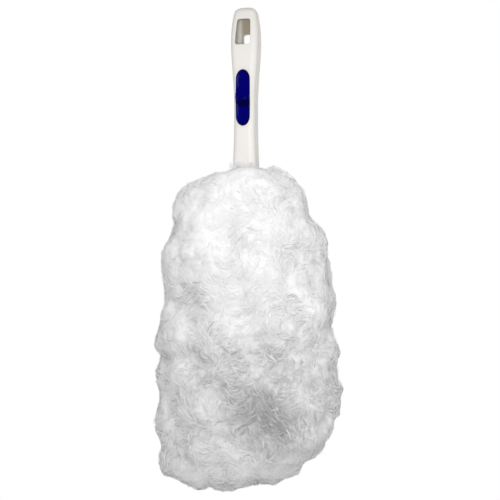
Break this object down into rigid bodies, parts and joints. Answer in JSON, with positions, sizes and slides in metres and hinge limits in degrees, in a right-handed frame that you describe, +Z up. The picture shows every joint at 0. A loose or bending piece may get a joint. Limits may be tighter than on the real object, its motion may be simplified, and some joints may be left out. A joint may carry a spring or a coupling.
{
  "type": "hand duster",
  "caption": "Hand duster: slim clamshell handle with a hanging eye and a thumb slide that frees a flat blade, which carries a thick fluffy fleece sleeve.",
  "frame": {"origin": "middle of the flat top of the hanging eye in the rear shell, where a peg carries the duster", "axes": "+Z up along the handle from the head to the hanging end, -Y out of the front with the thumb slide, +X to the right seen from the front"},
  "size_m": [0.1727, 0.1057, 0.4347],
  "materials": {
    "handle_plastic": "satin cream moulding",
    "slide_plastic": "glossy navy moulding",
    "inner_plastic": "natural moulding",
    "blade_plastic": "matt flexible moulding",
    "steel": "plain zinc-plated",
    "lining_knit": "fine knit",
    "tape": "woven tape",
    "fleece": "long soft white fibre pile"
  },
  "bodies": {
    "handle": {"handle_front_shell": "handle_plastic", "handle_rear_shell": "handle_plastic", "shell_screw_upper": "steel", "shell_screw_left": "steel", "shell_screw_right": "steel", "socket_bush": "inner_plastic", "latch_leaf": "steel"},
    "slide": {"thumb_slide": "slide_plastic", "release_bar": "inner_plastic", "slide_screw": "steel", "return_spring": "steel"},
    "head": {"blade_frame": "blade_plastic"},
    "sleeve": {"sleeve_lining": "lining_knit", "mouth_binding": "tape", "side_seam": "tape", "pile_front": "fleece", "pile_rear": "fleece"}
  },
  "joints": [
    {"name": "thumb_slide_travel", "type": "slide", "parent": "handle", "child": "slide", "axis": [0, 0, -1], "range_m": [0, 0.01], "stiffness_N_per_m": 300, "springref_m": -0.004, "deforming": ["return_spring", "latch_leaf"]},
    {"name": "head_pull_off", "type": "slide", "parent": "handle", "child": "head", "axis": [0, 0, -1], "range_m": [0, 0.03]},
    {"name": "sleeve_pull_off", "type": "slide", "parent": "head", "child": "sleeve", "axis": [0, 0, -1], "range_m": [0, 0.26]}
  ]
}
